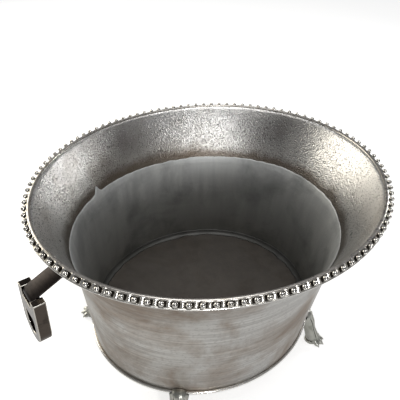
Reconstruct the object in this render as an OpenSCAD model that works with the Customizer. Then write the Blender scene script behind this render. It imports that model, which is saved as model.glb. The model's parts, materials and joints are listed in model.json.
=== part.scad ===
// Oval footed champagne bucket: flared silver-plated shell, zinc lining, pearl-set rim,
// two swinging drop handles in curled straps, and four paw feet screwed to the bottom plate.
// Millimetres, +Z up. The origin is on the floor under the centre; +X is the long axis of the oval.

/* [Oval] */
// Half length of the oval at the pearl line
rim_half_length = 220; // [200:1:240]
// Width of the oval over its length
oval_ratio = 0.855; // [0.84:0.005:0.87]

/* [Body] */
// Height of the pearl line above the floor
rim_height = 273; // [265:1:281]
// Half length of the body at its bottom edge
foot_half_length = 157.5; // [155:0.5:160]
// Height of the body's bottom edge above the floor
body_bottom = 53; // [51:1:54]
// Outward lean of the straight part of the wall
wall_taper = 0.125; // [0.11:0.005:0.135]
// Height at which the wall starts to flare
flare_start = 170; // [160:1:180]
// Extra half length that the flare gives at the top
flare_out = 29.5; // [27:0.5:31]
// Thickness of the plated shell
shell_wall = 2; // [1.6:0.1:2.4]

/* [Lining] */
// Thickness of the zinc lining
liner_wall = 1.2; // [1:0.1:1.4]
// Height of the lining's upper edge
liner_top = 207; // [190:1:215]
// Height of the floor that the ice lies on
floor_height = 68.4; // [67:0.1:70]

/* [Rim] */
// Number of pearls round the rim
pearl_count = 109; // [90:1:115]
// Radius of one pearl
pearl_r = 2.8; // [2.5:0.1:3]
// Angle at which the pearl band looks up from the horizontal
band_tilt = 40; // [35:1:45]

/* [Feet] */
// Place of each foot round the oval, as the oval's own parameter
foot_param = 46; // [42:1:50]
// Direction in which each foot points, from the long axis
foot_turn = 50; // [44:1:56]
// Radius of the flat sole
sole_r = 9; // [8:0.5:10]

/* [Drop handles] */
// Distance of the hinge axis from the centre
hinge_x = 232.7; // [230:0.1:236]
// Height of the hinge axis
hinge_z = 211.3; // [208:0.1:214]
// Radius of the hinge pin
pin_r = 3; // [2.5:0.1:3.3]
// Outer radius of the strap's curl
curl_r = 5.5; // [5.2:0.1:5.8]
// Width of the strap
strap_w = 24; // [20:0.5:25]
// Thickness of the strap
strap_t = 2.6; // [2:0.1:3]
// Half width of the drop handle
drop_half_w = 22; // [21:0.5:25]
// Thickness of the drop handle
drop_t = 14; // [12:0.5:14.5]
// Radius of the handle's finger hole
finger_r = 12; // [11:0.5:12.5]

/* [Hidden] */
$fn = 48;

seam = 0.05;                 // gap between pieces that are soldered or screwed face to face
liner_gap = 0.3;             // gap between the curved lining and the curved shell
band_gap = 0.2;              // gap filled with solder, between the curved border and the flare
plate_gap = 0.7;             // the same behind a wall plate, which is bent one way only
shell_top = rim_height - 0.5;
oval_steps = 72;
profile_step = 12.5;
base_wire_r = 2;
band_foot = rim_height - 10;
band_half = 3.2;             // half the width of the flat that the pearls sit on
band_t = 1.2;
strap_slope = 24;            // fall of the strap away from the wall, square to the flared wall
side_gap = 0.35;             // play between the strap's curl and the handle's ears
running_gap = 0.05;
stud_r = 3;
pad_r = 11;
pad_inset = 16;              // stud axis, inwards from the body's edge
plate_top = body_bottom + 1.6;
silver = [0.62, 0.60, 0.57];
bright = [0.86, 0.84, 0.80];
zinc = [0.36, 0.38, 0.40];
nickel = [0.22, 0.20, 0.19];

// Half length of the shell's outside at a height.
function wall_a(z) = foot_half_length + wall_taper * (z - body_bottom)
    + flare_out * pow(max(0, (z - flare_start) / (rim_height - flare_start)), 2);

// Outside of the wall, moved outwards by out, from one height to another: one straight run, then the flare.
function wall_line(z0, z1, out) =
    let (zs = max(z0, flare_start), n = ceil((z1 - zs) / profile_step))
    concat(z0 < flare_start ? [[wall_a(z0) + out, z0]] : [],
           [for (i = [0:n]) let (z = zs + (z1 - zs) * i / n) [wall_a(z) + out, z]]);

function backwards(line) = [for (i = [len(line) - 1:-1:0]) line[i]];

// A point of the oval of half length a, n steps to the turn.
function oval_xy(a, i) = [a * cos(360 * i / oval_steps), a * oval_ratio * sin(360 * i / oval_steps)];

// A ring on the oval: the cross-section at the +X end, listed anticlockwise, carried round the turn.
module oval(section) {
    m = len(section);
    polyhedron(
        points = [for (i = [0:oval_steps - 1], p = section) let (xy = oval_xy(p[0], i)) [xy[0], xy[1], p[1]]],
        faces = [for (i = [0:oval_steps - 1], j = [0:m - 1])
            let (k = (i + 1) % oval_steps, l = (j + 1) % m,
                 a = i * m + j, b = i * m + l, c = k * m + l, d = k * m + j)
            each [[a, b, c], [a, c, d]]]);
}

// A wire on the oval, six-sided with a side down.
module oval_wire(c, r) oval([for (t = [30:60:330]) [c[0] + r * cos(t), c[1] + r * sin(t)]]);

// A plate on the oval.
module oval_plate(a, z0, z1)
    translate([0, 0, z0]) linear_extrude(z1 - z0) polygon([for (i = [0:oval_steps - 1]) oval_xy(a, i)]);

module outer_shell()
    color(silver)
    oval(concat(wall_line(body_bottom, shell_top, 0),
                backwards(wall_line(body_bottom, shell_top, -shell_wall))));

module zinc_liner()
    color(zinc)
    oval(concat(wall_line(floor_height, liner_top, -shell_wall - liner_gap),
                backwards(wall_line(floor_height, liner_top, -shell_wall - liner_gap - liner_wall))));

module liner_floor()
    color(zinc)
    oval_plate(wall_a(floor_height) - shell_wall - 0.3,
               floor_height - liner_wall - seam, floor_height - seam);

// Run of solder in the corner between the lining and its floor.
module floor_solder_ring() {
    in_a = wall_a(floor_height) - shell_wall - liner_gap - liner_wall - 2 * seam;
    run = 6;
    color([0.46, 0.47, 0.47])
    oval(concat([[in_a - run, floor_height], [in_a, floor_height]],
                [for (t = [90:-30:0]) [in_a - run * (1 - sin(t)), floor_height + run * (1 - cos(t)) + 0.3]]));
}

// A point of the rim's cross-section: out along the way the pearls face, up across it.
function band(out, up) = [rim_half_length + out * cos(band_tilt) - up * sin(band_tilt),
                          rim_height + out * sin(band_tilt) + up * cos(band_tilt)];

// Cast border: its front is the flat that the pearls sit on, its back lies on the flare.
module rim_band()
    color(silver)
    oval(backwards(concat([band(-pearl_r, band_half), band(-pearl_r, -band_half),
                           band(-pearl_r - band_t, -band_half)],
                          wall_line(band_foot, shell_top, band_gap),
                          [[wall_a(shell_top) - shell_wall, shell_top + band_gap],
                           [wall_a(shell_top) - shell_wall + 1, shell_top + 1]])));

// Bright strip inside the pearls: flat below, gently domed, laid over the edge of the shell.
module rim_lip() {
    middle = wall_a(shell_top);
    low = shell_top + 1.25;
    half = 1.8;
    dome = 0.9;
    color(bright)
    oval(concat([[middle - half, low], [middle + half, low]],
                [for (t = [0:45:180]) [middle + half * cos(t), low + 0.15 + dome * sin(t)]]));
}

// Thin wire under the pearls.
module rim_edge_wire() {
    wire_r = 0.8;
    color(bright) oval_wire(band(-pearl_r + 0.3, -band_half - wire_r - 0.1), wire_r);
}

// Length of the pearl line up to each whole degree, for setting the pearls evenly.
function pearl_xy(t) = [rim_half_length * cos(t), rim_half_length * oval_ratio * sin(t)];
function step_length(i) = norm(pearl_xy(i) - pearl_xy(i - 1));
function running_sum(i, sum) =
    i > 360 ? [] : concat([[sum, i]], running_sum(i + 1, sum + step_length(i + 1)));
arc_table = running_sum(0, 0);
pearl_line = arc_table[360][0];

module rim_pearls()
    color(bright)
    for (i = [0:pearl_count - 1]) {
        p = pearl_xy(lookup(pearl_line * i / pearl_count, arc_table));
        translate([p[0], p[1], rim_height]) sphere(r = pearl_r, $fn = 16);
    }

// Places something at each foot: x outwards from the body's edge, z up from the floor.
module at_foot(sx, sy)
    translate([sx * foot_half_length * cos(foot_param), sy * foot_half_length * oval_ratio * sin(foot_param), 0])
    rotate([0, 0, sx > 0 ? sy * foot_turn : 180 - sy * foot_turn]) children();

module all_feet() for (sx = [-1, 1], sy = [-1, 1]) at_foot(sx, sy) children();

module bottom_plate()
    color(silver)
    difference() {
        oval_plate(foot_half_length - shell_wall - seam, body_bottom, plate_top);
        all_feet() translate([-pad_inset, 0, body_bottom - 1]) cylinder(r = stud_r + 0.2, h = 4);
    }

// Round wire that stiffens the bottom edge.
module base_ring()
    color(bright)
    oval_wire([foot_half_length + base_wire_r + 0.35, body_bottom + base_wire_r], base_wire_r);

// A round bar that tapers from one ball to another, drawn in the foot's own x and z.
module limb(p, rp, q, rq, y = 0) {
    d = [q[0] - p[0], 0, q[1] - p[1]];
    translate([p[0], y, p[1]]) sphere(r = rp);
    translate([q[0], y, q[1]]) sphere(r = rq);
    translate([p[0], y, p[1]]) rotate([0, acos(d[2] / norm(d)), d[0] < 0 ? 180 : 0])
        cylinder(r1 = 0.95 * rp, r2 = 0.95 * rq, h = norm(d));
}

module toe(turn, reach)
    translate([18, 0, 0]) rotate([0, 0, turn]) {
        limb([reach - 5, 9], 5.4, [reach + 3, 3.6], 3.8);
        translate([reach + 4, 0, 3.4]) rotate([0, 108, 0]) cylinder(r1 = 2.4, r2 = 0.7, h = 5.5);
    }

// The wall as it bends at a foot, which the knee is fitted against: a cone, and a ring for the base wire.
wall_bend = pow(pow(foot_half_length * sin(foot_param), 2)
    + pow(foot_half_length * oval_ratio * cos(foot_param), 2), 1.5) / (pow(foot_half_length, 2) * oval_ratio);
module wall_at_foot()
    translate([-wall_bend, 0, body_bottom - seam]) {
        cylinder(r1 = wall_bend + 0.2, r2 = wall_bend + 0.2 + 40 * wall_taper, h = 40);
        cylinder(r = wall_bend + 2 * base_wire_r + 0.5, h = 2 * base_wire_r + 0.2);
    }

// Paw foot: knee against the wall, leg, heel ball, and four toes on a flat sole.
module paw_foot()
    difference() {
        intersection() {
            union() {
                limb([1, 50], 12.5, [12, 28], 8);
                limb([12, 28], 8, [18, 10], 9.5);
                for (t = [-42, -14, 14, 42]) toe(t, abs(t) < 20 ? 10.5 : 8.5);
                translate([19, 0, 0]) cylinder(r = sole_r, h = 4);
                translate([-pad_inset, 0, body_bottom - 9]) cylinder(r = pad_r, h = 9 - seam);
                translate([-pad_inset, -7, body_bottom - 8]) cube([pad_inset, 14, 6]);
            }
            translate([-60, -60, 0]) cube([120, 120, 90]);
        }
        translate([-pad_inset, 0, body_bottom - 8]) cylinder(r = stud_r, h = 12);
        wall_at_foot();
    }

module fitted_foot(sx, sy) color(silver) at_foot(sx, sy) paw_foot();

module foot_front_left() fitted_foot(-1, -1);
module foot_front_right() fitted_foot(1, -1);
module foot_rear_left() fitted_foot(-1, 1);
module foot_rear_right() fitted_foot(1, 1);

module foot_studs()
    color(nickel)
    all_feet() translate([-pad_inset, 0, body_bottom - 8]) cylinder(r = stud_r, h = 17);

module foot_nuts()
    color(nickel)
    all_feet() translate([-pad_inset, 0, plate_top + seam])
    difference() {
        cylinder(r = 6, h = 4.6, $fn = 6);
        translate([0, 0, -1]) cylinder(r = stud_r, h = 8);
    }

// Handle pieces are drawn at the +X end with the hinge axis at the origin, then placed.
module at_hinge(side) rotate([0, 0, side < 0 ? 180 : 0]) translate([hinge_x, 0, hinge_z]) children();

// Turned so that x runs outwards down the strap and z is square to it.
module along_strap() rotate([0, strap_slope, 0]) children();

strap_reach = 47.5;          // from the hinge axis back into the wall plate
plate_w = 34;
plate_h = 22;
plate_t = 3;

module strap(side)
    color(nickel)
    at_hinge(side)
    difference() {
        union() {
            rotate([90, 0, 0]) cylinder(r = curl_r, h = strap_w, center = true);
            along_strap()
                translate([-strap_reach + plate_t + seam, -strap_w / 2, curl_r - strap_t])
                cube([strap_reach - plate_t - seam, strap_w, strap_t]);
        }
        rotate([90, 0, 0]) cylinder(r = pin_r + running_gap, h = strap_w + 2, center = true);
    }

// The flare as it bends at a wall plate: a cone that touches it at the plate's middle height.
plate_z = hinge_z + strap_reach * sin(strap_slope) + curl_r * cos(strap_slope);
module wall_at_plate(side) {
    slope = (wall_a(plate_z + 1) - wall_a(plate_z - 1)) / 2;
    bend = wall_a(plate_z) * oval_ratio * oval_ratio;
    reach = 20;
    rotate([0, 0, side < 0 ? 180 : 0]) translate([wall_a(plate_z) - bend, 0, plate_z - reach])
        cylinder(r1 = bend + plate_gap - reach * slope, r2 = bend + plate_gap + reach * slope, h = 2 * reach);
}

module wall_plate(side)
    color(nickel)
    difference() {
        at_hinge(side) along_strap()
            translate([-strap_reach - 3, -plate_w / 2, curl_r - strap_t / 2 - plate_h / 2])
            cube([plate_t + 3, plate_w, plate_h]);
        wall_at_plate(side);
    }

// Drop handle: straight top with square shoulders, round below, one finger hole,
// and a notch in the top for the strap's curl.
drop_top = 5;                // above the hinge axis
drop_centre = -40;           // centre of the round part, below the hinge axis
finger_rise = 16;            // height of the finger hole above that centre
notch_floor = -curl_r - 0.8;

module drop_profile()
    difference() {
        union() {
            circle(r = drop_half_w);
            translate([-drop_half_w, 0]) square([2 * drop_half_w, drop_top - drop_centre]);
        }
        circle(r = finger_r);
        translate([-finger_r, 0]) square([2 * finger_r, finger_rise]);
        translate([-strap_w / 2 - side_gap, notch_floor - drop_centre]) square([strap_w + 2 * side_gap, 20]);
    }

module drop_handle(side)
    color(nickel)
    at_hinge(side)
    difference() {
        translate([-drop_t / 2, 0, drop_centre]) rotate([90, 0, 90]) linear_extrude(drop_t) drop_profile();
        rotate([90, 0, 0]) cylinder(r = pin_r, h = 2 * drop_half_w - 6, center = true);
    }

module hinge_pin(side)
    color(bright)
    at_hinge(side) rotate([90, 0, 0]) cylinder(r = pin_r, h = 2 * drop_half_w - 6, center = true);

module left_wall_plate() wall_plate(-1);
module right_wall_plate() wall_plate(1);
module left_strap() strap(-1);
module right_strap() strap(1);
module left_drop_handle() drop_handle(-1);
module right_drop_handle() drop_handle(1);
module left_hinge_pin() hinge_pin(-1);
module right_hinge_pin() hinge_pin(1);

outer_shell();
zinc_liner();
liner_floor();
floor_solder_ring();
rim_lip();
rim_band();
rim_edge_wire();
rim_pearls();
bottom_plate();
base_ring();
foot_front_left();
foot_front_right();
foot_rear_left();
foot_rear_right();
foot_studs();
foot_nuts();
left_wall_plate();
right_wall_plate();
left_strap();
right_strap();
left_drop_handle();
right_drop_handle();
left_hinge_pin();
right_hinge_pin();
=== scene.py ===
# %% [markdown]
# # An oval champagne bucket
# The bucket is a flared, silver-plated oval tub on four paw feet. A dull zinc lining sits inside it, a
# border of pearls runs round its rim, and a heavy drop handle swings at each end.
# The frame already holds every piece at its true place, in metres, so each step below starts from a
# piece of the frame, measures it, and builds a finer one over it.

# %% Load the frame
import json
import math
import random

import bmesh
import bpy
import numpy as np
from mathutils import Matrix, Vector, noise


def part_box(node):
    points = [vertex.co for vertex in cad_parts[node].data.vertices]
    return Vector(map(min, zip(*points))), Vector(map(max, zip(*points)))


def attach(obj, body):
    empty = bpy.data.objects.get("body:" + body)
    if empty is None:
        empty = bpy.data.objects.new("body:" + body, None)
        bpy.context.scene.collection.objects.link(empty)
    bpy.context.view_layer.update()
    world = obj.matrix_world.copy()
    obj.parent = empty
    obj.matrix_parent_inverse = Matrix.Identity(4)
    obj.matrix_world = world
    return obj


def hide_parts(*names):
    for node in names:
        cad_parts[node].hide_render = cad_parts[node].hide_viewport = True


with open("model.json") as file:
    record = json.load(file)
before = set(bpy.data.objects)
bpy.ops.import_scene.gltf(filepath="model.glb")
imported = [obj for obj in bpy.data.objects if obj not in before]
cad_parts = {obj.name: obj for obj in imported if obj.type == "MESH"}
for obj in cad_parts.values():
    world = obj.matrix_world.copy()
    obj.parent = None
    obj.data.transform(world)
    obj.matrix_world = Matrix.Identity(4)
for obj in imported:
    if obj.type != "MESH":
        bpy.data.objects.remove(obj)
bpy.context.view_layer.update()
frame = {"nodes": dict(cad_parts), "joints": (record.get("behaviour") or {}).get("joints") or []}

MM = 0.001

# %% [markdown]
# ## The sizes that everything else follows
# The whole tub is one outline carried round an oval, so four numbers rule it: the half length of the
# pearl line, the width of the oval over its length, the height of the rim and the size of a pearl.
# The pearls' own box gives all four. The wall is a straight run that leans out, then a flare that
# opens as a parabola, and one function of height gives its half length.

# %% Measure the oval and the wall
pearls_low, pearls_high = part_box("rim_pearls")
PEARL_R = (pearls_high.z - pearls_low.z) / 2
RIM_Z = (pearls_high.z + pearls_low.z) / 2
RIM_A = pearls_high.x - PEARL_R
OVAL = (pearls_high.y - PEARL_R) / RIM_A
PEARLS = 109
BODY_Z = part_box("outer_shell")[0].z
SHELL_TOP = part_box("outer_shell")[1].z
SHELL_WALL = 2.0 * MM
FOOT_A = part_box("bottom_plate")[1].x + SHELL_WALL
FLOOR_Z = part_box("liner_floor")[1].z
LINER_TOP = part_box("zinc_liner")[1].z
TAPER = 0.125
FLARE_Z = 170 * MM
FLARE_OUT = 29.5 * MM


def wall_a(z):
    """Half length of the shell's outside at a height."""
    flare = max(0.0, (z - FLARE_Z) / (RIM_Z - FLARE_Z))
    return FOOT_A + TAPER * (z - BODY_Z) + FLARE_OUT * flare * flare


print(f"oval {RIM_A:.4f} x {RIM_A * OVAL:.4f}, rim at {RIM_Z:.4f}, pearl radius {PEARL_R:.4f}")

# %% [markdown]
# ## Camera
# The bucket is seen from above its front left, close enough that the near rim looks larger than the
# far one. A moderate lens at about half a metre gives that. The frame is shifted a little sideways, as
# a cropped picture is, in place of turning the camera, because turning would tilt the oval.

# %% Camera
camera_data = bpy.data.cameras.new("camera")
camera_data.lens = 42.4
camera_data.sensor_width = 36.0
camera_data.shift_x = 0.105
camera_data.dof.use_dof = False
camera = bpy.data.objects.new("camera", camera_data)
camera.location = (-0.3123, -0.3511, 0.5782)
camera.rotation_euler = (math.radians(53.85), 0.0, math.radians(-34.03))
bpy.context.scene.collection.objects.link(camera)
bpy.context.scene.camera = camera
print("camera at", [round(v, 3) for v in camera.location])

# %% [markdown]
# ## Floor, sky and lamps
# Silver shows its surroundings more than itself. A dim, even sky gives the wide dark reflections,
# a pale floor lights the outside from below, and a few soft lamps make the bright patches on the flare:
# one small lamp low in front, one low at the right, and a large window-like one behind at the left.
# The floor and sky look pale to the camera but darker to the metal, as if grey cards stood just
# outside the view.

# %% Floor and lights
def soft_lamp(name, turn, rise, distance, size, power, tint=(1.0, 1.0, 1.0)):
    """An area lamp that looks at the rim's centre from a direction given in degrees."""
    data = bpy.data.lights.new(name, "AREA")
    data.shape = "DISK"
    data.size = size
    data.energy = power
    data.color = tint
    lamp = bpy.data.objects.new(name, data)
    a, e = math.radians(turn), math.radians(rise)
    way = Vector((math.cos(a) * math.cos(e), math.sin(a) * math.cos(e), math.sin(e)))
    lamp.location = Vector((0, 0, RIM_Z)) + way * distance
    lamp.rotation_mode = "QUATERNION"
    lamp.rotation_quaternion = way.to_track_quat("Z", "Y")
    bpy.context.scene.collection.objects.link(lamp)


soft_lamp("lamp_top", -60, 84, 1.9, 1.3, 17)
soft_lamp("lamp_front", -110, 17, 1.7, 0.24, 7.5)
soft_lamp("lamp_right", -6, 9, 1.6, 0.26, 4.2)
soft_lamp("lamp_window", 114, 15, 1.8, 1.5, 20, (1.0, 0.955, 0.85))


def two_sights(tree, seen, reflected, output):
    """The camera sees one shader and the metal sees another."""
    path = tree.nodes.new("ShaderNodeLightPath")
    choice = tree.nodes.new("ShaderNodeMixShader")
    tree.links.new(path.outputs["Is Camera Ray"], choice.inputs[0])
    tree.links.new(reflected, choice.inputs[1])
    tree.links.new(seen, choice.inputs[2])
    tree.links.new(choice.outputs[0], output)


SKY = {"seen": ((0.93, 0.95, 0.98, 1.0), 1.0), "reflected": ((0.95, 0.96, 1.0, 1.0), 0.20)}
world = bpy.data.worlds.new("studio")
world.use_nodes = True
sky = world.node_tree
backgrounds = {}
for part, (tint, strength) in SKY.items():
    backgrounds[part] = sky.nodes.new("ShaderNodeBackground")
    backgrounds[part].inputs["Color"].default_value = tint
    backgrounds[part].inputs["Strength"].default_value = strength
two_sights(sky, backgrounds["seen"].outputs[0], backgrounds["reflected"].outputs[0],
           sky.nodes["World Output"].inputs["Surface"])
bpy.context.scene.world = world
bpy.context.scene.view_settings.view_transform = "Standard"

floor_mesh = bpy.data.meshes.new("floor")
floor_bm = bmesh.new()
bmesh.ops.create_grid(floor_bm, x_segments=1, y_segments=1, size=6.0)
floor_bm.to_mesh(floor_mesh)
floor_bm.free()
floor = bpy.data.objects.new("floor", floor_mesh)
bpy.context.scene.collection.objects.link(floor)
floor_material = bpy.data.materials.new("pale_floor")
floor_material.use_nodes = True
floor_tree = floor_material.node_tree
lit = {}
for part, shade, strength in (("seen", 0.92, 0.62), ("reflected", 0.62, 0.21)):
    paint = floor_tree.nodes.new("ShaderNodeBsdfDiffuse")
    paint.inputs["Color"].default_value = (shade, shade, shade * 0.99, 1.0)
    glow = floor_tree.nodes.new("ShaderNodeEmission")
    glow.inputs["Strength"].default_value = strength
    lit[part] = floor_tree.nodes.new("ShaderNodeAddShader")
    floor_tree.links.new(paint.outputs[0], lit[part].inputs[0])
    floor_tree.links.new(glow.outputs[0], lit[part].inputs[1])
two_sights(floor_tree, lit["seen"].outputs[0], lit["reflected"].outputs[0],
           floor_tree.nodes["Material Output"].inputs["Surface"])
floor.data.materials.append(floor_material)

# %% [markdown]
# ## Small helpers for node trees
# Every finish is built from the same few nodes, so three helpers keep the recipes short: one makes a
# node and wires or sets its inputs, one stretches a value to a new range, and one mixes two colours.

# %% Node helpers
def add(tree, kind, values=None, **settings):
    """Makes a shader node; each value is a socket to link or a constant to set."""
    made = tree.nodes.new("ShaderNode" + kind)
    for name, value in settings.items():
        setattr(made, name, value)
    for name, value in (values or {}).items():
        if isinstance(value, bpy.types.NodeSocket):
            tree.links.new(value, made.inputs[name])
        else:
            made.inputs[name].default_value = value
    return made


def stretch(tree, value, low, high, to_low=0.0, to_high=1.0):
    """Maps low..high to to_low..to_high, clamped."""
    made = add(tree, "MapRange", {"Value": value, "From Min": low, "From Max": high,
                                  "To Min": to_low, "To Max": to_high})
    return made.outputs["Result"]


def mix(tree, factor, first, second, way="MIX"):
    """Mixes two colours."""
    made = add(tree, "Mix", {0: factor, 6: first, 7: second}, data_type="RGBA", blend_type=way)
    return made.outputs[2]


def join(tree, operation, first, second):
    """One step of arithmetic."""
    return add(tree, "Math", {0: first, 1: second}, operation=operation).outputs[0]


def speckle(tree, vector, scale, detail=3.0, roughness=0.55, distortion=0.0):
    """Noise between 0 and 1."""
    made = add(tree, "TexNoise", {"Vector": vector, "Scale": scale, "Detail": detail,
                                  "Roughness": roughness, "Distortion": distortion})
    return made.outputs["Fac"]


def new_group(name, inputs, outputs):
    """A shader node group with named sockets; returns the tree and its two end nodes."""
    tree = bpy.data.node_groups.new(name, "ShaderNodeTree")
    for label, kind, value in inputs:
        socket = tree.interface.new_socket(label, in_out="INPUT", socket_type="NodeSocket" + kind)
        if value is not None:
            socket.default_value = value
    for label, kind in outputs:
        tree.interface.new_socket(label, in_out="OUTPUT", socket_type="NodeSocket" + kind)
    return tree, tree.nodes.new("NodeGroupInput"), tree.nodes.new("NodeGroupOutput")


# %% [markdown]
# ## Finishes that more than one metal shares
# Four things happen to old plate. It was hammered, which leaves a skin like orange peel. It was
# brushed round and round, which leaves level lines. It has tarnished in clouds. And it has been
# rubbed, which brightens edges and leaves dirt in the hollows. Each is a group with its own inputs.

# %% Hammered skin
hammered, g_in, g_out = new_group(
    "hammered_skin",
    [("Vector", "Vector", None), ("Size", "Float", 500.0), ("Depth", "Float", 1.0)],
    [("Height", "Float"), ("Pits", "Float")])
grain = speckle(hammered, g_in.outputs["Vector"], g_in.outputs["Size"], 2.0, 0.6)
dimples = add(hammered, "TexVoronoi", {"Vector": g_in.outputs["Vector"], "Scale": g_in.outputs["Size"],
                                       "Smoothness": 0.6}, feature="SMOOTH_F1")
skin = join(hammered, "ADD", join(hammered, "MULTIPLY", grain, 0.7),
            join(hammered, "MULTIPLY", dimples.outputs["Distance"], 0.5))
hammered.links.new(join(hammered, "MULTIPLY", skin, g_in.outputs["Depth"]), g_out.inputs["Height"])
hammered.links.new(stretch(hammered, skin, 0.53, 0.41), g_out.inputs["Pits"])

# %% Brushed lines
brushed, g_in, g_out = new_group(
    "brushed_lines",
    [("Vector", "Vector", None), ("Along", "Float", 6.0), ("Across", "Float", 500.0)],
    [("Lines", "Float")])
pull = add(brushed, "CombineXYZ", {0: g_in.outputs["Along"], 1: g_in.outputs["Along"],
                                   2: g_in.outputs["Across"]})
pulled = add(brushed, "VectorMath", {0: g_in.outputs["Vector"], 1: pull.outputs[0]}, operation="MULTIPLY")
brushed.links.new(speckle(brushed, pulled.outputs[0], 1.0, 5.0, 0.6), g_out.inputs["Lines"])

# %% Clouds of tarnish
tarnish, g_in, g_out = new_group(
    "tarnish_clouds",
    [("Vector", "Vector", None), ("Size", "Float", 9.0), ("Cover", "Float", 0.5),
     ("Clean", "Color", (0.6, 0.6, 0.6, 1.0)), ("Tarnished", "Color", (0.3, 0.25, 0.2, 1.0))],
    [("Color", "Color"), ("Mask", "Float")])
cloud = speckle(tarnish, g_in.outputs["Vector"], g_in.outputs["Size"], 7.0, 0.62, 0.4)
edge = join(tarnish, "SUBTRACT", 0.74, join(tarnish, "MULTIPLY", g_in.outputs["Cover"], 0.48))
mask = add(tarnish, "MapRange", {"Value": cloud, "From Min": edge,
                                 "From Max": join(tarnish, "ADD", edge, 0.2)})
tarnish.links.new(mask.outputs["Result"], g_out.inputs["Mask"])
tarnish.links.new(mix(tarnish, mask.outputs["Result"], g_in.outputs["Clean"], g_in.outputs["Tarnished"]),
                  g_out.inputs["Color"])

# %% Rubbed edges and dirty hollows
rubbed, g_in, g_out = new_group(
    "rubbed_relief",
    [("Relief", "Float", 0.5), ("Color", "Color", (0.6, 0.6, 0.6, 1.0)),
     ("Dirt", "Color", (0.05, 0.045, 0.04, 1.0)), ("Rub", "Color", (0.8, 0.78, 0.74, 1.0)),
     ("Low", "Float", 0.42), ("High", "Float", 0.58)],
    [("Color", "Color"), ("Dirt Mask", "Float")])
hollow = add(rubbed, "MapRange", {"Value": g_in.outputs["Relief"], "From Min": 0.5,
                                  "From Max": g_in.outputs["Low"]})
proud = add(rubbed, "MapRange", {"Value": g_in.outputs["Relief"], "From Min": 0.5,
                                 "From Max": g_in.outputs["High"]})
cleaned = mix(rubbed, proud.outputs["Result"], g_in.outputs["Color"], g_in.outputs["Rub"])
dirtied = mix(rubbed, hollow.outputs["Result"], cleaned, g_in.outputs["Dirt"])
rubbed.links.new(dirtied, g_out.inputs["Color"])
rubbed.links.new(hollow.outputs["Result"], g_out.inputs["Dirt Mask"])
print("groups:", [g.name for g in bpy.data.node_groups])

# %% [markdown]
# ## A metal to start from
# Each material is a Principled shader on the piece's own Object coordinates, which don't slide when a
# handle swings. Plain numbers go straight onto the shader's sockets, and only what changes over the
# surface comes from nodes.

# %% Start of a metal
def metal(name, metallic=1.0, specular=0.5):
    """A new material, its tree, its shader and its Object coordinates."""
    made = bpy.data.materials.new(name)
    made.use_nodes = True
    tree = made.node_tree
    shader = tree.nodes["Principled BSDF"]
    shader.inputs["Metallic"].default_value = metallic
    shader.inputs["Specular IOR Level"].default_value = specular
    return made, tree, shader, add(tree, "TexCoord").outputs["Object"]


def place(tree, group, values):
    """Places a node group and sets its inputs."""
    made = tree.nodes.new("ShaderNodeGroup")
    made.node_tree = group
    for name, value in values.items():
        if isinstance(value, bpy.types.NodeSocket):
            tree.links.new(value, made.inputs[name])
        else:
            made.inputs[name].default_value = value
    return made


def finish_metal(tree, shader, color, roughness, height, strength, depth):
    """Wires colour, roughness and a bump into a shader."""
    tree.links.new(color, shader.inputs["Base Color"])
    tree.links.new(roughness, shader.inputs["Roughness"])
    bump = add(tree, "Bump", {"Strength": strength, "Distance": depth, "Height": height})
    tree.links.new(bump.outputs["Normal"], shader.inputs["Normal"])


# %% [markdown]
# ## Plate outside
# The outside was brushed round the body and has gone warm grey, with brown clouds and faint hammer
# marks under the brushing. Level lines come from noise that is pulled out along the floor, because
# the brushing runs level all the way round.

# %% Outside plate
def plate_outside():
    """Brushed, warm grey plate with brown clouds."""
    made, tree, shader, at = metal("plated_outside")
    clouds = place(tree, tarnish, {"Vector": at, "Size": 11.0, "Cover": 0.62,
                                   "Clean": (0.62, 0.61, 0.585, 1.0),
                                   "Tarnished": (0.37, 0.305, 0.25, 1.0)})
    lines = place(tree, brushed, {"Vector": at, "Along": 9.0, "Across": 380.0}).outputs["Lines"]
    skin = place(tree, hammered, {"Vector": at, "Size": 260.0, "Depth": 1.0})
    shade = mix(tree, stretch(tree, lines, 0.35, 0.65), (0.76, 0.75, 0.74, 1.0), (1.14, 1.14, 1.14, 1.0))
    color = mix(tree, 1.0, clouds.outputs["Color"], shade, "MULTIPLY")
    color = mix(tree, join(tree, "MULTIPLY", skin.outputs["Pits"], 0.3), color, (0.30, 0.28, 0.26, 1.0))
    rough = join(tree, "ADD", stretch(tree, lines, 0.3, 0.7, 0.30, 0.44),
                 join(tree, "MULTIPLY", clouds.outputs["Mask"], 0.1))
    height = join(tree, "ADD", join(tree, "MULTIPLY", lines, 0.5), skin.outputs["Height"])
    finish_metal(tree, shader, color, rough, height, 0.55, 0.35 * MM)
    return made


# %% [markdown]
# ## Plate inside the flare
# The flare is the brightest metal on the bucket. Its skin is a fine, even stipple that breaks every
# reflection into grains. Just above the lining a brown shadow is painted in, a mask on height with a
# ragged upper side. Two dark patches at the back are painted reflections, masks too, by distance
# from a point on the flare.

# %% Inside plate
# Two spots on the flare, each with its reach, where dark reflections are painted into the colour.
PAINTED_DARK_REFLECTIONS = (((-0.020, 0.166, 0.248), 0.085), ((0.178, 0.065, 0.252), 0.070))


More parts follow.
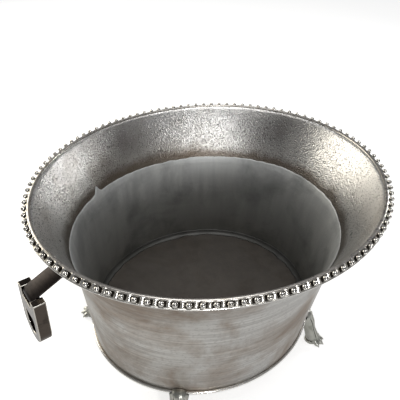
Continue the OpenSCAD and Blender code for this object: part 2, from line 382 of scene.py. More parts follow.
def plate_inside():
    """Bright stippled plate with a painted brown shadow above the lining and painted dark reflections at
    the back.
    """
    made, tree, shader, at = metal("plated_flare")
    clouds = place(tree, tarnish, {"Vector": at, "Size": 8.0, "Cover": 0.5,
                                   "Clean": (0.76, 0.745, 0.72, 1.0),
                                   "Tarnished": (0.44, 0.40, 0.355, 1.0)})
    fine = place(tree, hammered, {"Vector": at, "Size": 520.0, "Depth": 1.0})
    coarse = speckle(tree, at, 95.0, 3.0, 0.6)
    height_above = add(tree, "SeparateXYZ", {0: at}).outputs["Z"]
    # Painted shadow: a brown band with a ragged upper side just above the lining's edge.
    ragged = join(tree, "ADD", height_above, join(tree, "MULTIPLY", speckle(tree, at, 30.0, 5.0), -0.022))
    stain_and_painted_shadow = stretch(tree, ragged, LINER_TOP + 0.004, LINER_TOP - 0.008)
    patchy = stretch(tree, speckle(tree, at, 14.0, 3.0), 0.35, 0.62, 0.45, 1.0)
    color = clouds.outputs["Color"]
    # Painted dark reflections, one round each spot.
    for spot, reach in PAINTED_DARK_REFLECTIONS:
        away = add(tree, "VectorMath", {0: at, 1: spot}, operation="DISTANCE").outputs["Value"]
        uneven = join(tree, "ADD", away, join(tree, "MULTIPLY", speckle(tree, at, 26.0, 5.0), 0.06))
        dark_reflection = stretch(tree, uneven, reach + 0.03, 0.03, 0.0, 0.85)
        color = mix(tree, dark_reflection, color, (0.21, 0.195, 0.18, 1.0))
    pitted = join(tree, "MULTIPLY", fine.outputs["Pits"], patchy)
    color = mix(tree, pitted, color, (0.085, 0.08, 0.075, 1.0))
    # The painted brown shadow above the lining goes into the colour here.
    color = mix(tree, join(tree, "MULTIPLY", stain_and_painted_shadow, 0.8), color, (0.175, 0.135, 0.10, 1.0))
    rough = join(tree, "ADD", stretch(tree, coarse, 0.3, 0.7, 0.27, 0.36),
                 join(tree, "MULTIPLY", clouds.outputs["Mask"], 0.06))
    height = join(tree, "ADD", fine.outputs["Height"], join(tree, "MULTIPLY", coarse, 0.4))
    finish_metal(tree, shader, color, rough, height, 1.0, 0.75 * MM)
    return made


# %% [markdown]
# ## Zinc lining
# Zinc goes dull and bluish in air, and its colour is painted darker towards the floor as shade deep in
# the tub. Faint streaks run down it, and faint lines run round it from the sheet's rolling. The floor
# is the same metal, browner, and the solder in the corner is paler.

# %% Zinc, floor and solder
def dull_metal(name, top, bottom, stain_and_painted_shadow, rough_low, rough_high):
    """A matt grey metal that goes from one colour at the lining's top to another at its floor; on the
    lining the darker lower colour is painted shade.
    """
    made, tree, shader, at = metal(name, metallic=0.55, specular=0.35)
    height_above = add(tree, "SeparateXYZ", {0: at}).outputs["Z"]
    streak_at = add(tree, "Mapping", {"Vector": at, "Scale": (70.0, 70.0, 5.0)}).outputs["Vector"]
    streaks = speckle(tree, streak_at, 1.0, 4.0, 0.6, 0.3)
    lines = place(tree, brushed, {"Vector": at, "Along": 14.0, "Across": 260.0}).outputs["Lines"]
    clouds = place(tree, tarnish, {"Vector": at, "Size": 14.0, "Cover": 0.55,
                                   "Clean": (1.0, 1.0, 1.0, 1.0), "Tarnished": stain_and_painted_shadow})
    # Painted shade: the colour darkens from the lining's top towards its floor, with a wavering edge.
    depth = join(tree, "ADD", height_above, join(tree, "MULTIPLY", speckle(tree, at, 12.0, 4.0), 0.03))
    color = mix(tree, stretch(tree, depth, FLOOR_Z + 0.03, LINER_TOP + 0.012), bottom, top)
    color = mix(tree, 0.8, color, clouds.outputs["Color"], "MULTIPLY")
    light = mix(tree, stretch(tree, streaks, 0.35, 0.65), (0.93, 0.93, 0.94, 1.0), (1.07, 1.07, 1.06, 1.0))
    color = mix(tree, 1.0, color, light, "MULTIPLY")
    rough = stretch(tree, join(tree, "ADD", streaks, lines), 0.7, 1.3, rough_low, rough_high)
    height = join(tree, "ADD", join(tree, "MULTIPLY", lines, 0.5), speckle(tree, at, 340.0, 3.0))
    finish_metal(tree, shader, color, rough, height, 0.5, 0.3 * MM)
    return made


# %% [markdown]
# ## Rim metals
# The pearls, the lip and the edge wire are polished by every hand that carries the bucket. The border
# between them keeps its dark patina down in the recesses, and only its webs are rubbed bright, so it
# reads how deep each point is from an attribute that the modelling step writes.

# %% Polished and patinated rim
def polished(name, clean, tarnished, rough_low, rough_high):
    """A smooth metal with small spots of tarnish and fine scratches."""
    made, tree, shader, at = metal(name)
    clouds = place(tree, tarnish, {"Vector": at, "Size": 60.0, "Cover": 0.4, "Clean": clean,
                                   "Tarnished": tarnished})
    scratches = speckle(tree, at, 900.0, 4.0, 0.7)
    wear = speckle(tree, at, 130.0, 3.0)
    rough = stretch(tree, wear, 0.3, 0.7, rough_low, rough_high)
    height = join(tree, "ADD", scratches, wear)
    finish_metal(tree, shader, clouds.outputs["Color"], rough, height, 0.25, 0.12 * MM)
    return made


def patinated_border():
    """Cast metal that is dark where its recess attribute is high."""
    made, tree, shader, at = metal("patinated_border")
    deep = add(tree, "Attribute", attribute_name="recess").outputs["Fac"]
    uneven = join(tree, "ADD", deep, stretch(tree, speckle(tree, at, 420.0, 4.0), 0.0, 1.0, -0.3, 0.3))
    dirt = stretch(tree, uneven, 0.35, 0.75)
    clouds = place(tree, tarnish, {"Vector": at, "Size": 50.0, "Cover": 0.45,
                                   "Clean": (0.80, 0.77, 0.71, 1.0), "Tarnished": (0.50, 0.45, 0.36, 1.0)})
    color = mix(tree, dirt, clouds.outputs["Color"], (0.035, 0.030, 0.024, 1.0))
    rough = stretch(tree, dirt, 0.0, 1.0, 0.24, 0.62)
    height = speckle(tree, at, 700.0, 4.0, 0.6)
    finish_metal(tree, shader, color, rough, height, 0.4, 0.2 * MM)
    return made


# %% [markdown]
# ## Cast feet, dark strap, dark handle, fasteners
# The feet are castings: grainy, greenish grey, bright on the knuckles and black in the grooves. The
# strap is almost black with fine crossed scratches, partly patina and partly painted shade from the
# rim above. The handle is the same dark metal polished, so it mirrors the room, and a painted highlight
# brightens its crisp edges. On the finely meshed feet, Pointiness finds the edges and hollows; the flat
# faces of the strap and handle have no points to measure, so they do without it.

# %% Cast and dark metals
def relief_metal(name, clean, tarnished, rough_low, rough_high, scratch, relief=None):
    """A cast or filed metal; relief gives dirt, rub, low and high for a sculpted piece."""
    made, tree, shader, at = metal(name)
    clouds = place(tree, tarnish, {"Vector": at, "Size": 45.0, "Cover": 0.5, "Clean": clean,
                                   "Tarnished": tarnished})
    color = clouds.outputs["Color"]
    casting = speckle(tree, at, 380.0, 4.0, 0.6)
    rough = stretch(tree, casting, 0.3, 0.7, rough_low, rough_high)
    if relief:
        worn = place(tree, rubbed, {"Relief": add(tree, "NewGeometry").outputs["Pointiness"],
                                    "Color": color, "Dirt": relief[0], "Rub": relief[1],
                                    "Low": relief[2], "High": relief[3]})
        color = worn.outputs["Color"]
        rough = join(tree, "ADD", rough, join(tree, "MULTIPLY", worn.outputs["Dirt Mask"], 0.25))
    crossed = []
    for turn in (32, -41):
        slanted = add(tree, "Mapping", {"Vector": at, "Rotation": (math.radians(turn), 0.0, 0.3),
                                        "Scale": (110.0, 110.0, 1500.0)}).outputs["Vector"]
        crossed.append(speckle(tree, slanted, 1.0, 3.0, 0.6))
    lines = join(tree, "ADD", crossed[0], crossed[1])
    shade = mix(tree, stretch(tree, lines, 0.8, 1.2), (0.8, 0.8, 0.8, 1.0), (1.2, 1.2, 1.2, 1.0))
    color = mix(tree, scratch, color, shade, "MULTIPLY")
    height = join(tree, "ADD", join(tree, "MULTIPLY", lines, scratch), casting)
    finish_metal(tree, shader, color, rough, height, 0.4, 0.2 * MM)
    return made


finishes = {
    "plated_outside": plate_outside(),
    "plated_flare": plate_inside(),
    "zinc_lining": dull_metal("zinc_lining", (0.58, 0.59, 0.58, 1.0), (0.23, 0.227, 0.21, 1.0),
                              (0.55, 0.555, 0.56, 1.0), 0.42, 0.60),
    "zinc_floor": dull_metal("zinc_floor", (0.105, 0.094, 0.083, 1.0), (0.102, 0.091, 0.080, 1.0),
                             (0.80, 0.76, 0.72, 1.0), 0.42, 0.58),
    "solder": dull_metal("solder", (0.078, 0.077, 0.072, 1.0), (0.078, 0.077, 0.072, 1.0),
                         (0.70, 0.70, 0.68, 1.0), 0.42, 0.58),
    "polished_rim": polished("polished_rim", (0.90, 0.88, 0.83, 1.0), (0.62, 0.58, 0.50, 1.0), 0.16, 0.30),
    "lip_metal": polished("lip_metal", (0.56, 0.53, 0.49, 1.0), (0.30, 0.27, 0.22, 1.0), 0.24, 0.36),
    "pearls": polished("pearls", (0.66, 0.64, 0.60, 1.0), (0.30, 0.265, 0.215, 1.0), 0.10, 0.20),
    "patinated_border": patinated_border(),
    "cast_feet": relief_metal("cast_feet", (0.52, 0.52, 0.47, 1.0), (0.36, 0.365, 0.31, 1.0),
                              0.28, 0.42, 0.2,
                              ((0.02, 0.02, 0.016, 1.0), (0.80, 0.79, 0.74, 1.0), 0.45, 0.57)),
    # Near-black strap metal: partly patina, partly painted shade from the rim above; the wall plates share
    # it.
    "dark_strap": relief_metal("dark_strap", (0.030, 0.025, 0.023, 1.0), (0.013, 0.0108, 0.010, 1.0),
                               0.30, 0.46, 0.8),
    "dark_nickel": relief_metal("dark_nickel", (0.090, 0.074, 0.062, 1.0), (0.034, 0.028, 0.023, 1.0),
                                0.12, 0.20, 0.15),
    # Brighter metal for the handle's bevel faces: a painted highlight along the edges, partly wear.
    "edge_highlight_and_wear": polished("edge_highlight_and_wear", (0.62, 0.59, 0.54, 1.0), (0.34, 0.30, 0.25, 1.0), 0.16, 0.26),
    "fasteners": polished("fasteners", (0.55, 0.54, 0.52, 1.0), (0.38, 0.34, 0.29, 1.0), 0.28, 0.42),
}
print("finishes:", len(finishes))

# %% [markdown]
# ## Modelling helpers
# Most of the bucket is turned work pressed into an oval. A spin carries a cross-section round a
# circle and closes it on itself, and one scale across the width then makes the circle an oval, just
# as a stretching press does. Gentle dents are added afterwards by moving the points.

# %% Modelling helpers
def settle(bm, name, body, slot, node_name, finish=None):
    """Turns a bmesh into a finished piece that rides on a body and stands for its CAD node."""
    mesh = bpy.data.meshes.new(name)
    bm.to_mesh(mesh)
    bm.free()
    piece = bpy.data.objects.new(name, mesh)
    bpy.context.scene.collection.objects.link(piece)
    for face in mesh.polygons:
        face.use_smooth = True
    for key in (finish or [slot]):
        mesh.materials.append(finishes[key])
    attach(piece, body)
    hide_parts(node_name)
    print(name, len(mesh.polygons), "faces")
    return piece


def spin_oval(section, steps):
    """Carries a closed cross-section of (half length, height) points round the oval."""
    bm = bmesh.new()
    points = [bm.verts.new((a, 0.0, z)) for a, z in section]
    edges = [bm.edges.new((points[i - 1], points[i])) for i in range(len(points))]
    bmesh.ops.spin(bm, geom=points + edges, cent=(0, 0, 0), axis=(0, 0, 1), dvec=(0, 0, 0),
                   angle=math.tau, steps=steps, use_merge=True, use_duplicate=False)
    bmesh.ops.scale(bm, vec=(1.0, OVAL, 1.0), verts=bm.verts)
    bmesh.ops.recalc_face_normals(bm, faces=bm.faces)
    return bm


def round_wire(a, z, radius, sides, steps):
    """A round wire on the oval."""
    turns = [math.tau * i / sides for i in range(sides)]
    return spin_oval([(a + radius * math.cos(t), z + radius * math.sin(t)) for t in turns], steps)


def wall_run(low, high, inset, rows):
    """Points of the wall from one height to another, moved inwards by inset."""
    heights = [low + (high - low) * i / rows for i in range(rows + 1)]
    return [(wall_a(z) - inset, z) for z in heights]


def dent(bm, depth, size):
    """Moves points level in or out by smooth noise, as hand work leaves them."""
    for v in bm.verts:
        out = Vector((v.co.x, v.co.y / (OVAL * OVAL), 0.0)).normalized()
        v.co += out * depth * noise.noise(v.co * size)


# %% [markdown]
# ## The shell
# The real shell is one sheet, raised and flared over a stake. Its outline could be lofted ring by
# ring, but a spin gives closed ends and even faces in one step. The sheet's inner side gets the
# bright flare finish and its outer side the brushed one, by which way each face looks.

# %% Shell
STEPS = 240
shell_bm = spin_oval(wall_run(BODY_Z, SHELL_TOP, 0.0, 64)
                     + wall_run(BODY_Z, SHELL_TOP, SHELL_WALL, 64)[::-1], STEPS)
dent(shell_bm, 0.35 * MM, 24.0)
shell_bm.normal_update()
for face in shell_bm.faces:
    centre = face.calc_center_median()
    looks_out = face.normal.x * centre.x + face.normal.y * centre.y
    face.material_index = 0 if looks_out > 0 else 1
settle(shell_bm, "flared_shell", "bucket", "plated_body", "outer_shell",
       finish=["plated_outside", "plated_flare"])

# %% [markdown]
# ## The lining
# The lining was dipped and wiped by hand, so its upper edge wanders and carries one tongue where the
# metal ran. The edge is made straight first, then every point near it slides up or down the wall.
# Sliding means that its half length is worked out again from its new height. The sheet thins out
# towards that edge, so no hard line shows where it ends.

# %% Lining
LINER_GAP = 0.3 * MM
LINER_WALL = 1.2 * MM
LINER_EDGE = 0.3 * MM
THINNING = 9 * MM
TONGUE_TURN = math.radians(118.5)


def edge_rise(turn):
    """How far the lining's upper edge stands above its mean height, round the oval."""
    ring = Vector((math.cos(turn), math.sin(turn), 0.0))
    slow = 1.6 * noise.noise(ring * 2.2 + Vector((5.0, 0.0, 0.0)))
    quick = 0.9 * noise.noise(ring * 14.0)
    fine = 0.5 * noise.noise(ring * 45.0)
    off = math.remainder(turn - TONGUE_TURN, math.tau) / math.radians(1.5)
    return (slow + quick + fine - 2.6 + 10.0 * math.exp(-off * off)) * MM


outside = wall_run(FLOOR_Z, LINER_TOP, SHELL_WALL + LINER_GAP, 44)
inside = []
for a, z in wall_run(FLOOR_Z, LINER_TOP, SHELL_WALL + LINER_GAP, 44):
    full = min(1.0, (LINER_TOP - z) / THINNING)
    inside.append((a - LINER_EDGE - (LINER_WALL - LINER_EDGE) * full, z))
lining_bm = spin_oval(outside + inside[::-1], 480)
for v in lining_bm.verts:
    before = wall_a(v.co.z)
    turn = math.atan2(v.co.y / OVAL, v.co.x)
    near = max(0.0, (v.co.z - LINER_TOP + 14 * MM) / (14 * MM))
    v.co.z += edge_rise(turn) * near * near
    grown = (wall_a(v.co.z) - SHELL_WALL) / (before - SHELL_WALL)
    v.co.x *= grown
    v.co.y *= grown
settle(lining_bm, "zinc_lining_sheet", "bucket", "zinc_lining", "zinc_liner")

# %% [markdown]
# ## The solder run
# Solder was run into the corner with an iron. Its face is hollow, and its width wanders. A spun
# hollow fillet gives the shape, and slow noise pulls its inner edge in and out.

# %% Solder run
CORNER_A = wall_a(FLOOR_Z) - SHELL_WALL - LINER_GAP - LINER_WALL - 0.1 * MM
RUN = 6.0 * MM
fillet = [(CORNER_A, FLOOR_Z + 0.05 * MM)]
fillet += [(CORNER_A - RUN * (1 - math.sin(t)), FLOOR_Z + RUN * (1 - math.cos(t)) + 0.15 * MM)
           for t in [math.radians(90 - 15 * i) for i in range(7)]][::-1]
solder_bm = spin_oval(fillet, 240)
for v in solder_bm.verts:
    turn = math.atan2(v.co.y / OVAL, v.co.x)
    ring = Vector((math.cos(turn), math.sin(turn), 0.0))
    inward = 1 - math.hypot(v.co.x, v.co.y / OVAL) / CORNER_A
    pull_in = 1 - inward * 0.5 * (0.5 + noise.noise(ring * 9.0) + 0.6 * noise.noise(ring * 30.0))
    v.co.x *= pull_in
    v.co.y *= pull_in
settle(solder_bm, "solder_run", "bucket", "solder", "floor_solder_ring")

# %% [markdown]
# ## The pearl border
# Pearls sit at equal distances along the oval, not at equal angles, so a table of running length is
# made first. The border behind them is a strip of cells. A flat grid has a column for every tenth of
# a pearl's pitch; it is wrapped round the rim, and the points between two pearls are lifted into a
# web. How low each point lies is kept in an attribute for the patina.

# %% Even places along the pearl line
TILT = math.radians(40)
fine_turns = np.linspace(0.0, math.tau, 3601)
steps_along = np.hypot(np.diff(RIM_A * np.cos(fine_turns)), np.diff(RIM_A * OVAL * np.sin(fine_turns)))
run_length = np.concatenate([[0.0], np.cumsum(steps_along)])
PITCH = run_length[-1] / PEARLS


def turn_at(length):
    """The oval's parameter at a length along the pearl line."""
    return float(np.interp(length, run_length, fine_turns))


def across_rim(out, up):
    """A point of the rim's section: out along the way the pearls face, up across it."""
    return (RIM_A + out * math.cos(TILT) - up * math.sin(TILT),
            RIM_Z + out * math.sin(TILT) + up * math.cos(TILT))


print(f"pearl pitch {PITCH * 1000:.2f} mm")

# %% Border with a recess for each pearl
COLUMNS = 10
HALF_BAND = 3.2 * MM
BAND_T = 1.2 * MM
WEB = 1.5 * MM
WEB_START, WEB_RAMP = 0.62, 0.26
SIDE_START = 0.7
front = [-1.0, -0.86, -0.7, -0.45, -0.15, 0.15, 0.45, 0.7, 0.86, 1.0]
back_top = [(wall_a(SHELL_TOP) - SHELL_WALL + 1.0 * MM, SHELL_TOP + 1.0 * MM),
            (wall_a(SHELL_TOP) - SHELL_WALL, SHELL_TOP + 0.2 * MM)]
back = [(wall_a(z) + 0.2 * MM, z) for z in (SHELL_TOP, SHELL_TOP - 4 * MM, RIM_Z - 10 * MM)]
back += [across_rim(-PEARL_R - BAND_T, -HALF_BAND)]
rows = len(front) + len(back_top) + len(back)

border_bm = bmesh.new()
bmesh.ops.create_grid(border_bm, x_segments=PEARLS * COLUMNS, y_segments=rows, size=0.5)
recess = border_bm.verts.layers.float.new("recess")
for v in border_bm.verts:
    length = (v.co.x + 0.5) * PEARLS * PITCH
    row = round((v.co.y + 0.5) * rows) % rows
    from_pearl = abs(math.remainder(length, PITCH)) / (PITCH / 2)
    web = max(0.0, min(1.0, (from_pearl - WEB_START) / WEB_RAMP))
    web = web * web * (3 - 2 * web)
    if row < len(front):
        side = max(0.0, (abs(front[row]) - SIDE_START) / (1 - SIDE_START))
        lift = WEB * max(web * (1 - 0.25 * side), 0.45 * side)
        a, z = across_rim(-PEARL_R + lift, front[row] * HALF_BAND)
        v[recess] = 1.0 - max(web, side * 0.8)
    else:
        a, z = (back_top + back)[row - len(front)]
        v[recess] = 0.35
    turn = turn_at(length)
    v.co = (a * math.cos(turn), a * OVAL * math.sin(turn), z)
bmesh.ops.remove_doubles(border_bm, verts=border_bm.verts, dist=1e-6)
bmesh.ops.recalc_face_normals(border_bm, faces=border_bm.faces)
settle(border_bm, "cast_border", "bucket", "patinated_border", "rim_band")

# %% Pearls
random.seed(7)
pearls_bm = bmesh.new()
for i in range(PEARLS):
    turn = turn_at(i * PITCH)
    place_at = Vector((RIM_A * math.cos(turn), RIM_A * OVAL * math.sin(turn), RIM_Z))
    bmesh.ops.create_icosphere(pearls_bm, subdivisions=2, radius=PEARL_R * random.uniform(0.97, 1.0),
                               matrix=Matrix.Translation(place_at)
                               @ Matrix.Rotation(random.uniform(0, math.tau), 4, "X"))
settle(pearls_bm, "pearls", "bucket", "pearls", "rim_pearls")

# %% [markdown]
# ## Lip, edge wire and base wire
# A bright domed strip is laid over the sheet's edge inside the pearls. Two drawn wires finish the
# rest: a thin one under the pearls, and one round the foot of the body. Each is a section spun on
# the oval, flat below and domed above for the strip, round for a wire.

# %% Lip and wires
LIP_HALF = 1.8 * MM
LIP_DOME = 0.9 * MM
LIP_LOW = SHELL_TOP + 1.25 * MM
EDGE_R = 0.8 * MM
lip_middle = wall_a(SHELL_TOP)
lip = [(lip_middle - LIP_HALF, LIP_LOW), (lip_middle + LIP_HALF, LIP_LOW)]
lip += [(lip_middle + LIP_HALF * math.cos(t), LIP_LOW + 0.15 * MM + LIP_DOME * math.sin(t))
        for t in [math.radians(15 * i) for i in range(13)]]
settle(spin_oval(lip, STEPS), "rim_lip_strip", "bucket", "polished_rim", "rim_lip", finish=["lip_metal"])
edge_a, edge_z = across_rim(-PEARL_R + 0.3 * MM, -HALF_BAND - EDGE_R)
settle(round_wire(edge_a, edge_z, EDGE_R, 10, STEPS), "rim_edge_bead", "bucket", "polished_rim",
       "rim_edge_wire")
base_low, base_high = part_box("base_ring")
base_r = (base_high.z - base_low.z) / 2
settle(round_wire(base_high.x - base_r, base_low.z + base_r, base_r, 12, STEPS), "base_wire", "bucket",
       "polished_rim", "base_ring")

# %% [markdown]
# ## Paw feet
# Each foot is a small casting: a knee laid against the wall, a leg with tendons, and four knuckled
# toes with claws. It is built as a sculptor builds it, from overlapping balls and tapered limbs, and
# a voxel remesh melts them into one skin. Grooves are then pressed in between the tendons, and the
# side against the wall is flattened to the wall's own curve.

# %% Foot from balls and limbs
FOOT_PARAM = math.radians(46)
FOOT_TURN = 50
WALL_BEND = (math.hypot(math.sin(FOOT_PARAM), OVAL * math.cos(FOOT_PARAM)) ** 3) * FOOT_A / OVAL


def limb(bm, start, start_r, end, end_r):
    """Two balls and the tapered bar between them."""
    a, b = Vector(start) * MM, Vector(end) * MM
    along = (b - a).normalized().to_track_quat("Z", "Y").to_matrix().to_4x4()
    for middle, radius in ((a, start_r), (b, end_r)):
        bmesh.ops.create_uvsphere(bm, u_segments=24, v_segments=14, radius=radius * MM,
                                  matrix=Matrix.Translation(middle))
    bmesh.ops.create_cone(bm, cap_ends=True, segments=24, radius1=start_r * MM, radius2=end_r * MM,
                          depth=(b - a).length, matrix=Matrix.Translation((a + b) / 2) @ along)


def toe(bm, turn, reach):
    """A knuckled toe with a claw, pointing out from the heel."""
    c, s = math.cos(math.radians(turn)), math.sin(math.radians(turn))

    def at(out, up):
        return (18 + out * c, out * s, up)

    limb(bm, at(0, 11.5), 5.0, at(reach - 6, 11.6), 4.9)
    limb(bm, at(reach - 6, 11.0), 4.9, at(reach - 0.5, 6.0), 4.0)
    limb(bm, at(reach - 0.5, 5.4), 4.3, at(reach + 4.0, 3.6), 3.5)
    limb(bm, at(reach + 4.5, 4.6), 2.2, at(reach + 9.0, 1.3), 0.9)


def wall_face(y):
    """Where the body's wall is, in the foot's own x, at a distance y to the side."""
    return math.sqrt(max(0.0, WALL_BEND * WALL_BEND - y * y)) - WALL_BEND


# %% Foot skin
def foot_mesh():
    """The whole foot melted into one skin, with its soldered pad, in its own axes."""
    bm = bmesh.new()
    limb(bm, (1.5, 0, 49.5), 12.0, (7.5, 0, 40), 10.2)
    limb(bm, (7.5, 0, 40), 10.2, (13, 0, 26), 8.0)
    limb(bm, (13, 0, 26), 8.0, (19, 0, 11), 9.4)
    for side in (-1, 1):
        limb(bm, (2, 6.0 * side, 52), 6.2, (10, 5.0 * side, 32), 4.6)
        limb(bm, (10, 5.0 * side, 32), 4.6, (19, 6.0 * side, 13), 5.0)
    for turn in (-42, -14, 14, 42):
        toe(bm, turn, 11.0 if abs(turn) < 20 else 9.0)
    bmesh.ops.create_cone(bm, cap_ends=True, segments=40, radius1=9 * MM, radius2=9 * MM, depth=4 * MM,
                          matrix=Matrix.Translation((19 * MM, 0, 2 * MM)))
    bmesh.ops.create_cone(bm, cap_ends=True, segments=40, radius1=11 * MM, radius2=11 * MM, depth=9 * MM,
                          matrix=Matrix.Translation((-16 * MM, 0, 48.4 * MM)))
    bmesh.ops.create_cube(bm, size=1.0, matrix=Matrix.Translation((-8 * MM, 0, 48.2 * MM))
                          @ Matrix.Diagonal((16 * MM, 14 * MM, 6 * MM, 1)))
    rough = bpy.data.meshes.new("foot_rough")
    bm.to_mesh(rough)
    bm.free()
    holder = bpy.data.objects.new("foot_rough", rough)
    bpy.context.scene.collection.objects.link(holder)
    melt = holder.modifiers.new("melt", "REMESH")
    melt.mode = "VOXEL"
    melt.voxel_size = 0.8 * MM
    even = holder.modifiers.new("even", "SMOOTH")
    even.iterations = 5
    even.factor = 0.5
    skin = bpy.data.meshes.new_from_object(holder.evaluated_get(bpy.context.evaluated_depsgraph_get()))
    bpy.data.objects.remove(holder)
    return skin


# %% Grooves, flat sole and the fit against the wall
GROOVES = (-30, -10, 10, 30)


def groove(turn, up):
    """Depth of the grooves, from 0 to 1, by the way a point looks from the leg's middle."""
    total = 0.0
    for line in GROOVES:
        off = (turn - line * (1.0 + 0.35 * max(0.0, 0.03 - up) / 0.03)) / 4.2
        total += math.exp(-off * off)
    fade = min(1.0, max(0.0, (up - 10 * MM) / (6 * MM))) * min(1.0, max(0.0, (58 * MM - up) / (8 * MM)))
    return total * fade


def carve(skin):
    """Presses the grooves in, and fits the skin to the wall and the floor."""
    bm = bmesh.new()
    bm.from_mesh(skin)
    bm.normal_update()
    for v in bm.verts:
        up = v.co.z
        middle = np.interp(up, [11 * MM, 26 * MM, 40 * MM, 50 * MM], [17 * MM, 12 * MM, 5 * MM, -1 * MM])
        if v.co.x > middle:
            turn = math.degrees(math.atan2(v.co.y, v.co.x - middle))
            v.co -= v.normal * 1.25 * MM * groove(turn, up)
    bmesh.ops.smooth_vert(bm, verts=bm.verts, factor=0.25,
                          use_axis_x=True, use_axis_y=True, use_axis_z=True)
    for v in bm.verts:
        wall = wall_face(v.co.y) + 0.3 * MM + TAPER * max(0.0, v.co.z - BODY_Z)
        if v.co.z > BODY_Z - 0.2 * MM:
            ring = 2 * base_r + 0.5 * MM if v.co.z < BODY_Z + 2 * base_r + 0.3 * MM else 0.0
            if v.co.x < -3 * MM:
                v.co.z = BODY_Z - 0.2 * MM
            else:
                v.co.x = max(v.co.x, wall + ring)
        v.co.z = max(0.0, v.co.z)
    bmesh.ops.recalc_face_normals(bm, faces=bm.faces)
    return bm


foot_skin = foot_mesh()
print("foot skin:", len(foot_skin.vertices), "points")

# %% Four feet
for node_name, sx, sy in (("foot_front_left", -1, -1), ("foot_front_right", 1, -1),
                          ("foot_rear_left", -1, 1), ("foot_rear_right", 1, 1)):
    foot_bm = carve(foot_skin)
    facing = sy * FOOT_TURN if sx > 0 else 180 - sy * FOOT_TURN
    spot = Vector((sx * FOOT_A * math.cos(FOOT_PARAM), sy * FOOT_A * OVAL * math.sin(FOOT_PARAM), 0))
    bmesh.ops.transform(foot_bm, verts=foot_bm.verts,
                        matrix=Matrix.Translation(spot) @ Matrix.Rotation(math.radians(facing), 4, "Z"))
    settle(foot_bm, "paw_" + node_name[5:], "bucket", "cast_feet", node_name)

# %% [markdown]
# ## Straps
# A strap is one strip of plate. It leaves the wall square to the flare, and its free end is curled
# round the hinge pin. The strip's middle line is a few points and an arc; extruding that line
# sideways gives a sheet, and a Solidify and a Bevel give it thickness and soft edges.

# %% Straps
def hinge_of(side):
    """The hinge axis at the left (-1) or right (1) end, from the frame's own joint."""
    name = ("left" if side < 0 else "right") + "_handle_swing"
    joint = next(j for j in frame["joints"] if j["name"] == name)
    return Vector(joint["pos_m"])


def only_points(made):
    """The points among what an extrusion made."""
    return [g for g in made if isinstance(g, bmesh.types.BMVert)]


def to_side(bm, side):
    """Takes a piece drawn at the right end with its hinge at the origin to its own end."""
    hinge = hinge_of(side)
    turn = Matrix.Rotation(math.pi if side < 0 else 0.0, 4, "Z")
    bmesh.ops.transform(bm, verts=bm.verts, matrix=Matrix.Translation(hinge) @ turn)


STRAP_T = 2.4 * MM
STRAP_W = 24 * MM
CURL_R = 5.5 * MM
STRAP_FALL = math.radians(24)
STRAP_REACH = 44.4 * MM


def strap_bmesh(side):
    """The strip and its curl as a sheet without thickness."""
    middle = CURL_R - STRAP_T / 2
    line = [(-STRAP_REACH + STRAP_REACH * i / 8, middle) for i in range(8)]
    line += [(middle * math.sin(t), middle * math.cos(t))
             for t in [math.radians(310 * i / 22) for i in range(23)]]
    bm = bmesh.new()
    points = [bm.verts.new((x, -STRAP_W / 2, z)) for x, z in line]
    edges = [bm.edges.new((points[i], points[i + 1])) for i in range(len(points) - 1)]
    pushed = bmesh.ops.extrude_edge_only(bm, edges=edges)["geom"]
    bmesh.ops.translate(bm, vec=(0, STRAP_W, 0), verts=only_points(pushed))
    bmesh.ops.recalc_face_normals(bm, faces=bm.faces)
    bmesh.ops.rotate(bm, cent=(0, 0, 0), matrix=Matrix.Rotation(STRAP_FALL, 3, "Y"), verts=bm.verts)
    to_side(bm, side)
    return bm


for side, word in ((-1, "left"), (1, "right")):
    strap = settle(strap_bmesh(side), word + "_curled_strap", "bucket", "dark_strap", word + "_strap")
    thick = strap.modifiers.new("thickness", "SOLIDIFY")
    thick.thickness = STRAP_T
    thick.offset = 0.0
    soft = strap.modifiers.new("soft_edges", "BEVEL")
    soft.width = 0.5 * MM
    soft.segments = 2
    soft.limit_method = "ANGLE"

# %% [markdown]
# ## Drop handles
# The handle is a heavy ring with square shoulders, sawn and filed from thick plate, so its edges are
# crisp. Its face is filled between two outlines, the outer edge and the finger hole, pushed to its
# full thickness, and its sharp edges are bevelled narrowly. The bevel's faces take a brighter metal,
# which is the object's second one: a painted highlight along the edges, partly wear from hands.

# %% Drop handles
HALF_W = 22 * MM
DROP_T = 14 * MM
DROP_TOP = 5 * MM
DROP_CENTRE = -40 * MM
FINGER_R = 12 * MM
ARCH = 16 * MM
NOTCH_W = STRAP_W / 2 + 0.35 * MM
NOTCH_FLOOR = -CURL_R - 0.8 * MM


def outline(bm, points):
    """A closed ring of edges in the handle's own plane."""
    ring = [bm.verts.new((-DROP_T / 2, y, z)) for y, z in points]
    return [bm.edges.new((ring[i - 1], ring[i])) for i in range(len(ring))]


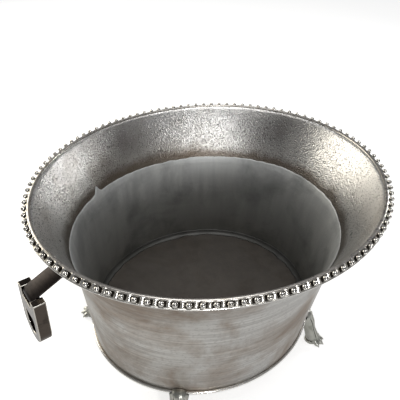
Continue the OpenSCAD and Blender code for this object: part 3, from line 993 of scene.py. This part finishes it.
def drop_handle_bmesh(side):
    """The ring handle, filled between its outer edge and its finger hole, at full thickness."""
    lower = [math.pi * i / 40 for i in range(41)]
    outer = [(HALF_W * math.cos(t), DROP_CENTRE - HALF_W * math.sin(t)) for t in lower]
    outer += [(-HALF_W, DROP_TOP), (-NOTCH_W, DROP_TOP), (-NOTCH_W, NOTCH_FLOOR),
              (NOTCH_W, NOTCH_FLOOR), (NOTCH_W, DROP_TOP), (HALF_W, DROP_TOP)]
    hole = [(FINGER_R * math.cos(t), DROP_CENTRE - FINGER_R * math.sin(t)) for t in lower]
    corner = 4 * MM
    for sign, span in ((-1, (180, 90)), (1, (90, 0))):
        for i in range(7):
            t = math.radians(span[0] + (span[1] - span[0]) * i / 6)
            hole.append((sign * (FINGER_R - corner) + corner * math.cos(t),
                         DROP_CENTRE + ARCH - corner + corner * math.sin(t)))
    bm = bmesh.new()
    edges = outline(bm, outer) + outline(bm, hole)
    bmesh.ops.triangle_fill(bm, edges=edges, use_beauty=True, use_dissolve=False)
    pushed = bmesh.ops.extrude_face_region(bm, geom=bm.faces[:])["geom"]
    bmesh.ops.translate(bm, vec=(DROP_T, 0, 0), verts=only_points(pushed))
    bmesh.ops.recalc_face_normals(bm, faces=bm.faces)
    to_side(bm, side)
    return bm


for side, word in ((-1, "left"), (1, "right")):
    ring = settle(drop_handle_bmesh(side), word + "_ring_handle", word + "_handle", "dark_nickel",
                  word + "_drop_handle", finish=["dark_nickel", "edge_highlight_and_wear"])
    crisp = ring.modifiers.new("filed_edges", "BEVEL")
    crisp.width = 0.9 * MM
    crisp.segments = 3
    crisp.limit_method = "ANGLE"
    crisp.angle_limit = math.radians(40)
    crisp.harden_normals = True
    # The bevel's faces take the brighter second metal, a painted highlight along the crisp edges.
    crisp.material = 1

# %% [markdown]
# ## Wall plates
# The strap ends on a small plate that is soldered to the flare. It is a rounded rectangle, so a box
# is bevelled on its four short edges first and then all round.

# %% Wall plates
for side, word in ((-1, "left"), (1, "right")):
    plate_bm = bmesh.new()
    size = Vector((3.6, 34, 22)) * MM
    centre = Vector((-STRAP_REACH - 1.4 * MM, 0, CURL_R - STRAP_T / 2))
    bmesh.ops.create_cube(plate_bm, size=1.0,
                          matrix=Matrix.Translation(centre) @ Matrix.Diagonal((*size, 1)))
    short = [e for e in plate_bm.edges if abs((e.verts[0].co - e.verts[1].co).normalized().x) > 0.9]
    bmesh.ops.bevel(plate_bm, geom=short, offset=4 * MM, offset_type="OFFSET", segments=6, profile=0.5,
                    affect="EDGES", material=-1)
    sharp = [e for e in plate_bm.edges if e.calc_face_angle(0.0) > 0.9]
    bmesh.ops.bevel(plate_bm, geom=sharp, offset=0.6 * MM, offset_type="OFFSET", segments=3, profile=0.5,
                    affect="EDGES", material=-1)
    bmesh.ops.rotate(plate_bm, cent=(0, 0, 0), matrix=Matrix.Rotation(STRAP_FALL, 3, "Y"),
                     verts=plate_bm.verts)
    to_side(plate_bm, side)
    # The plates take the strap's metal, whose near-black colour is partly painted shade.
    settle(plate_bm, word + "_soldered_plate", "bucket", "dark_strap", word + "_wall_plate")

# %% [markdown]
# ## Pieces that keep their frame shape
# The floor of the lining, the bottom plate, the studs, the nuts and the hinge pins are plain shapes
# and already right, so they only need their metal.

# %% Metals for the plain pieces
plain = {"liner_floor": "zinc_floor", "bottom_plate": "plated_outside", "foot_studs": "fasteners",
         "foot_nuts": "fasteners", "left_hinge_pin": "fasteners", "right_hinge_pin": "fasteners"}
for node_name, finish_name in plain.items():
    kept = frame["nodes"][node_name]
    if not kept.material_slots:
        kept.data.materials.append(finishes[finish_name])
    for held in kept.material_slots:
        held.material = finishes[finish_name]
    print(node_name, "is", finish_name)
